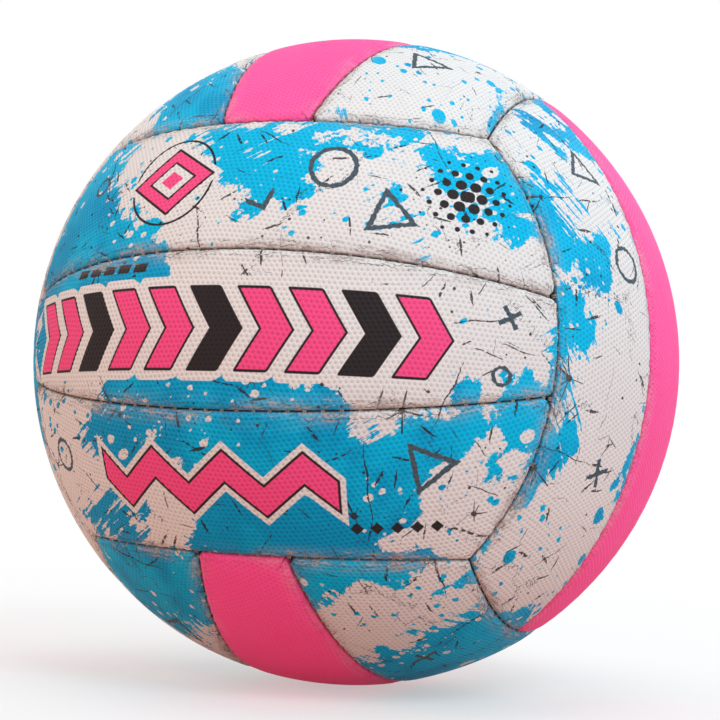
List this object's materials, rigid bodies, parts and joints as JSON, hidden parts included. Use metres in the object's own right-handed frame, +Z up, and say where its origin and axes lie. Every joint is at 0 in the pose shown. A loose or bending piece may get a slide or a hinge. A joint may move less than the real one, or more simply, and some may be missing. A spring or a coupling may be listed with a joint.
{
  "type": "netball",
  "caption": "Round inflatable netball with a stitched cover of dimpled strip panels, padded and lined over a rubber bladder, with a needle valve at the back.",
  "frame": {"origin": "centre of the ball", "axes": "+Z up, -Y towards the front group of panels, whose strips run along X; the valve's needle bore points along +Y"},
  "size_m": [0.2228, 0.2227, 0.2228],
  "materials": {
    "skin_print": "satin dimpled rubber skin, printed in blue, pink and charcoal on off-white",
    "skin_pink": "satin dimpled rubber skin, plain pink",
    "foam": "matt closed-cell foam",
    "lining": "woven polyester and cotton cloth",
    "thread": "waxed polyester thread",
    "bladder": "matt butyl rubber",
    "plug": "satin silicone rubber"
  },
  "bodies": {
    "root": {"skin_front_upper": "skin_print", "skin_front_middle": "skin_print", "skin_front_lower": "skin_print", "skin_back_upper": "skin_print", "skin_back_middle": "skin_print", "skin_back_lower": "skin_print", "skin_right_front": "skin_print", "skin_right_middle": "skin_pink", "skin_right_back": "skin_print", "skin_left_back": "skin_print", "skin_left_middle": "skin_pink", "skin_left_front": "skin_print", "skin_top_left": "skin_print", "skin_top_middle": "skin_pink", "skin_top_right": "skin_print", "skin_bottom_right": "skin_print", "skin_bottom_middle": "skin_pink", "skin_bottom_left": "skin_print", "foam_front_upper": "foam", "foam_front_middle": "foam", "foam_front_lower": "foam", "foam_back_upper": "foam", "foam_back_middle": "foam", "foam_back_lower": "foam", "foam_right_front": "foam", "foam_right_middle": "foam", "foam_right_back": "foam", "foam_left_back": "foam", "foam_left_middle": "foam", "foam_left_front": "foam", "foam_top_left": "foam", "foam_top_middle": "foam", "foam_top_right": "foam", "foam_bottom_right": "foam", "foam_bottom_middle": "foam", "foam_bottom_left": "foam", "lining_front_upper": "lining", "lining_front_middle": "lining", "lining_front_lower": "lining", "lining_back_upper": "lining", "lining_back_middle": "lining", "lining_back_lower": "lining", "lining_right_front": "lining", "lining_right_middle": "lining", "lining_right_back": "lining", "lining_left_back": "lining", "lining_left_middle": "lining", "lining_left_front": "lining", "lining_top_left": "lining", "lining_top_middle": "lining", "lining_top_right": "lining", "lining_bottom_right": "lining", "lining_bottom_middle": "lining", "lining_bottom_left": "lining", "strip_seam_thread": "thread", "group_seam_thread": "thread", "bladder": "bladder", "valve_seat": "bladder", "valve_plug": "plug"}
  },
  "joints": []
}
